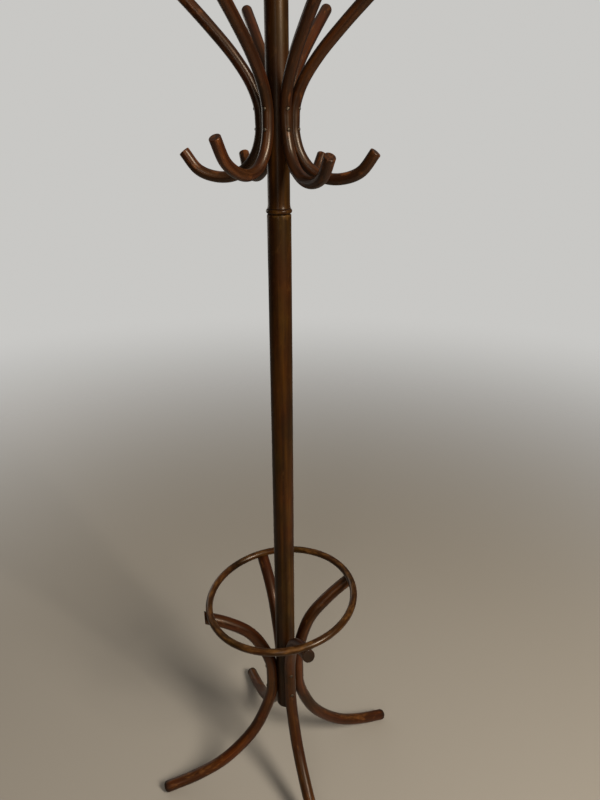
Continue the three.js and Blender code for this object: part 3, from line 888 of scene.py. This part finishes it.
def make_finial():
    bottom, height = FINIAL["bottom"], FINIAL["height"]
    knob, neck, radius = FINIAL["knob"], FINIAL["neck"], UPPER_POLE["radius"]
    middle = bottom + height - knob * 0.78
    ball = [(r, middle + (z - middle) * 0.78) for r, z in arc(0, middle, knob, -50, 90)]
    outline = [(0, bottom), (8, bottom), (radius, bottom)]
    outline += arc(radius, bottom + 3, 2.4, -80, 80) + arc(radius, bottom + 11.6, 6.2, 250, 180)
    outline += arc(neck + 3.2, bottom + 12, 2.6, 240, 130) + ball
    outline[-1] = (0, bottom + height)
    bands = [(bottom + height, 12, 0.35, 0)]
    make_turned("finial_wood", "finial", "head", outline, SEEDS["finial"], FINIAL_UNEVEN, bands)


# ---- Room, light and camera ----------------------------------------------------------------------

# In metres, degrees and watts. Azimuths are about the pole, from +X.
FLOOR = {"half_size": 30, "drop": 0.0005, "colour": rgb(0.37, 0.345, 0.305), "fade_from": 0.9, "fade_to": 4.5}
SOFTBOXES = [
    {"name": "window_light", "azimuth": -47, "elevation": 33, "distance": 3.4, "size": (0.8, 1.5),
     "watts": 140, "colour": (1.0, 0.90, 0.77)},
    {"name": "room_light", "azimuth": -99, "elevation": 24, "distance": 3.2, "size": (0.5, 2.6),
     "watts": 16, "colour": (1.0, 0.92, 0.82)},
    {"name": "far_light", "azimuth": 128, "elevation": 10, "distance": 3.6, "size": (1.6, 1.6),
     "watts": 12, "colour": (1.0, 0.95, 0.88)},
]
AIM_HEIGHT = 0.9

# How strongly the room lights the stand from each side, and the backdrop, which only the camera sees.
FRONT_WALL = 0.03
BACK_WALL = 0.13
CEILING = 0.16
ROOM_COLOUR = rgb(1.0, 0.91, 0.80)
BACKDROP = 0.60
BACKDROP_COLOUR = rgb(0.97, 0.96, 0.93)

# Where the photographer stood: in front of the pole, in metres and degrees, with the lens in millimetres.
CAMERA = {"distance": 1.32, "height": 1.6175, "yaw": 1.654, "pitch": 22.891, "roll": -0.18, "lens": 30.77}


def make_floor():
    bm = bmesh.new()
    bmesh.ops.create_grid(bm, x_segments=1, y_segments=1, size=FLOOR["half_size"])
    mesh = bpy.data.meshes.new("floor")
    bm.to_mesh(mesh)
    bm.free()
    floor = bpy.data.objects.new("floor", mesh)
    floor.location.z = -FLOOR["drop"]
    bpy.context.scene.collection.objects.link(floor)
    n = Nodes("floor")
    place = n.add("ShaderNodeNewGeometry").outputs["Position"]
    level = n.stretched(place, (1, 1, 0))
    reach = n.add("ShaderNodeVectorMath", {0: level}, operation="LENGTH").outputs["Value"]
    n.put(n.shader.inputs["Base Color"], FLOOR["colour"])
    n.put(n.shader.inputs["Roughness"], 0.6)
    inputs = {"Value": reach, "From Min": FLOOR["fade_from"], "From Max": FLOOR["fade_to"]}
    far = n.add("ShaderNodeMapRange", inputs, interpolation_type="SMOOTHSTEP").outputs["Result"]
    blend = n.add("ShaderNodeMixShader", {0: far, 1: n.shader.outputs["BSDF"]})
    n.put(blend.inputs[2], n.add("ShaderNodeBsdfTransparent").outputs["BSDF"])
    n.put(n.tree.nodes["Material Output"].inputs["Surface"], blend.outputs["Shader"])
    mesh.materials.append(n.material)


def add_softbox(box):
    """A rectangular light aimed at the middle of the stand."""
    data = bpy.data.lights.new(box["name"], "AREA")
    data.shape = "RECTANGLE"
    data.size, data.size_y = box["size"]
    data.energy = box["watts"]
    data.color = box["colour"]
    light = bpy.data.objects.new(box["name"], data)
    a, e = math.radians(box["azimuth"]), math.radians(box["elevation"])
    out = Vector((math.cos(a) * math.cos(e), math.sin(a) * math.cos(e), math.sin(e)))
    light.location = Vector((POLE_X, POLE_Y, AIM_HEIGHT)) + out * box["distance"]
    light.rotation_mode = "QUATERNION"
    light.rotation_quaternion = out.to_track_quat("Z", "Y")
    bpy.context.scene.collection.objects.link(light)


def make_light():
    """A dim room with a pale far wall and ceiling, lit from the front right, the front and behind."""
    world = bpy.data.worlds.new("studio")
    world.use_nodes = True
    tree = world.node_tree
    background = tree.nodes["Background"]
    split = tree.nodes.new("ShaderNodeSeparateXYZ")
    tree.links.new(tree.nodes.new("ShaderNodeTexCoord").outputs["Generated"], split.inputs["Vector"])

    def graded(axis, start, end, from_light, to_light):
        node = tree.nodes.new("ShaderNodeMapRange")
        node.interpolation_type = "SMOOTHSTEP"
        tree.links.new(split.outputs[axis], node.inputs["Value"])
        ranges = {"From Min": start, "From Max": end, "To Min": from_light, "To Max": to_light}
        for key, value in ranges.items():
            node.inputs[key].default_value = value
        return node.outputs["Result"]

    room = tree.nodes.new("ShaderNodeMath")
    tree.links.new(graded("Y", -0.7, 0.9, FRONT_WALL, BACK_WALL), room.inputs[0])
    tree.links.new(graded("Z", 0.25, 1.0, 0.0, CEILING), room.inputs[1])
    seen = tree.nodes.new("ShaderNodeMix")
    camera_ray = tree.nodes.new("ShaderNodeLightPath").outputs["Is Camera Ray"]
    tree.links.new(camera_ray, seen.inputs["Factor"])
    tree.links.new(room.outputs["Value"], seen.inputs["A"])
    seen.inputs["B"].default_value = BACKDROP
    tree.links.new(seen.outputs["Result"], background.inputs["Strength"])
    colour = tree.nodes.new("ShaderNodeMix")
    colour.data_type = "RGBA"
    tree.links.new(camera_ray, colour.inputs["Factor"])
    colour.inputs["A"].default_value = ROOM_COLOUR
    colour.inputs["B"].default_value = BACKDROP_COLOUR
    tree.links.new(colour.outputs["Result"], background.inputs["Color"])
    bpy.context.scene.world = world
    for box in SOFTBOXES:
        add_softbox(box)


def make_camera():
    bpy.context.scene.view_settings.view_transform = "Standard"
    data = bpy.data.cameras.new("camera")
    data.sensor_width = 36
    data.lens = CAMERA["lens"]
    camera = bpy.data.objects.new("camera", data)
    yaw, pitch, roll = (math.radians(CAMERA[k]) for k in ("yaw", "pitch", "roll"))
    camera.matrix_world = (
        Matrix.Translation((POLE_X, POLE_Y - CAMERA["distance"], CAMERA["height"]))
        @ Matrix.Rotation(-yaw, 4, "Z")
        @ Matrix.Rotation(math.pi / 2 - pitch, 4, "X") @ Matrix.Rotation(roll, 4, "Z")
    )
    bpy.context.scene.collection.objects.link(camera)
    bpy.context.scene.camera = camera


# ---- The stand -----------------------------------------------------------------------------------

make_camera()
make_light()
make_floor()
make_poles()
make_finial()
for number, hook in enumerate(HOOKS, 1):
    make_hook(number, hook)
for number, leg in enumerate(LEGS, 1):
    make_leg(number, leg)
make_ring()
for node in ("pivot_pin", "swivel_washer"):
    steel_part = frame["nodes"][node].data
    steel_part.materials.clear()
    steel_part.materials.append(PIVOT_STEEL)
